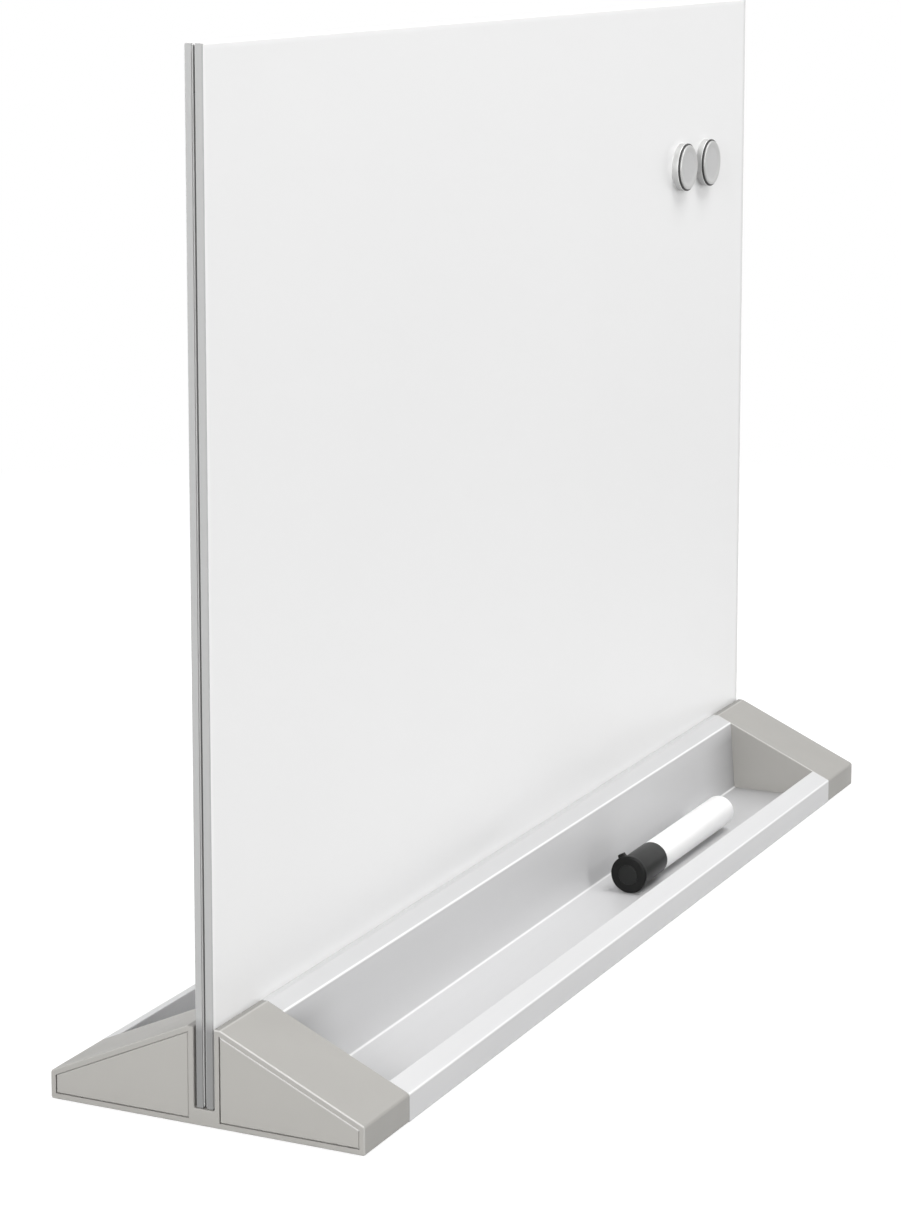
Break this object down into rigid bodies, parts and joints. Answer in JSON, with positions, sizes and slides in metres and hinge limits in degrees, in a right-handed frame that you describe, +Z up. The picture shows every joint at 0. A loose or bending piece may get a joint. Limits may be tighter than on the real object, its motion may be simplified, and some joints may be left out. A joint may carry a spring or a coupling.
{
  "type": "desk whiteboard",
  "caption": "Double-sided magnetic glass desk board standing upright in a sloped base with a pen tray along each face, with disc magnets and a capped marker.",
  "frame": {"origin": "on the desk, under the middle of the base", "axes": "+X along the board, front face and marker towards -Y, +Z up"},
  "size_m": [0.6, 0.146, 0.4375],
  "materials": {
    "anodised_aluminium": "fine satin anodised",
    "liner_rubber": "soft matte, pale",
    "foot_rubber": "matte",
    "cap_plastic": "fine moulded texture, warm grey",
    "cover_plastic": "fine moulded texture, warm grey",
    "screw_steel": "zinc plated",
    "white_glass": "glossy face, painted white behind, ground edges",
    "sheet_steel": "cold rolled",
    "foam_tape": "closed-cell foam",
    "polished_housing": "polished",
    "grip_rubber": "satin",
    "plated_magnet": "nickel plated",
    "barrel_plastic": "smooth white",
    "holder_plastic": "plain",
    "nib_felt": "pressed fibre, inked",
    "reservoir_fibre": "bonded fibre, inked",
    "marker_cap_plastic": "satin near-black"
  },
  "bodies": {
    "base": {"base_extrusion": "anodised_aluminium", "slot_liner": "liner_rubber", "rubber_feet": "foot_rubber", "end_cap_left": "cap_plastic", "end_cap_right": "cap_plastic", "cover_plate_left_front": "cover_plastic", "cover_plate_left_back": "cover_plastic", "cover_plate_right_front": "cover_plastic", "cover_plate_right_back": "cover_plastic", "cap_screws_left": "screw_steel", "cap_screws_right": "screw_steel"},
    "board": {"glass_panel_front": "white_glass", "glass_panel_back": "white_glass", "steel_sheet_front": "sheet_steel", "steel_sheet_back": "sheet_steel", "bonding_tape": "foam_tape"},
    "left_magnet": {"magnet_housing_left": "polished_housing", "magnet_ring_left": "grip_rubber", "magnet_core_left": "plated_magnet"},
    "right_magnet": {"magnet_housing_right": "polished_housing", "magnet_ring_right": "grip_rubber", "magnet_core_right": "plated_magnet"},
    "marker": {"marker_barrel": "barrel_plastic", "marker_nib_holder": "holder_plastic", "marker_nib": "nib_felt", "marker_ink_reservoir": "reservoir_fibre"},
    "pen_cap": {"marker_cap": "marker_cap_plastic"}
  },
  "joints": [
    {"name": "board_lift", "type": "slide", "parent": "base", "child": "board", "axis": [0, 0, 1], "range_m": [0, 0.05]},
    {"name": "left_magnet_pull", "type": "slide", "parent": "board", "child": "left_magnet", "axis": [0, -1, 0], "range_m": [0, 0.03]},
    {"name": "right_magnet_pull", "type": "slide", "parent": "board", "child": "right_magnet", "axis": [0, -1, 0], "range_m": [0, 0.03]},
    {"name": "marker_lift", "type": "slide", "parent": "base", "child": "marker", "axis": [0, 0, 1], "range_m": [0, 0.06]},
    {"name": "cap_pull", "type": "slide", "parent": "marker", "child": "pen_cap", "axis": [-1, 0, 0], "range_m": [0, 0.045]}
  ]
}
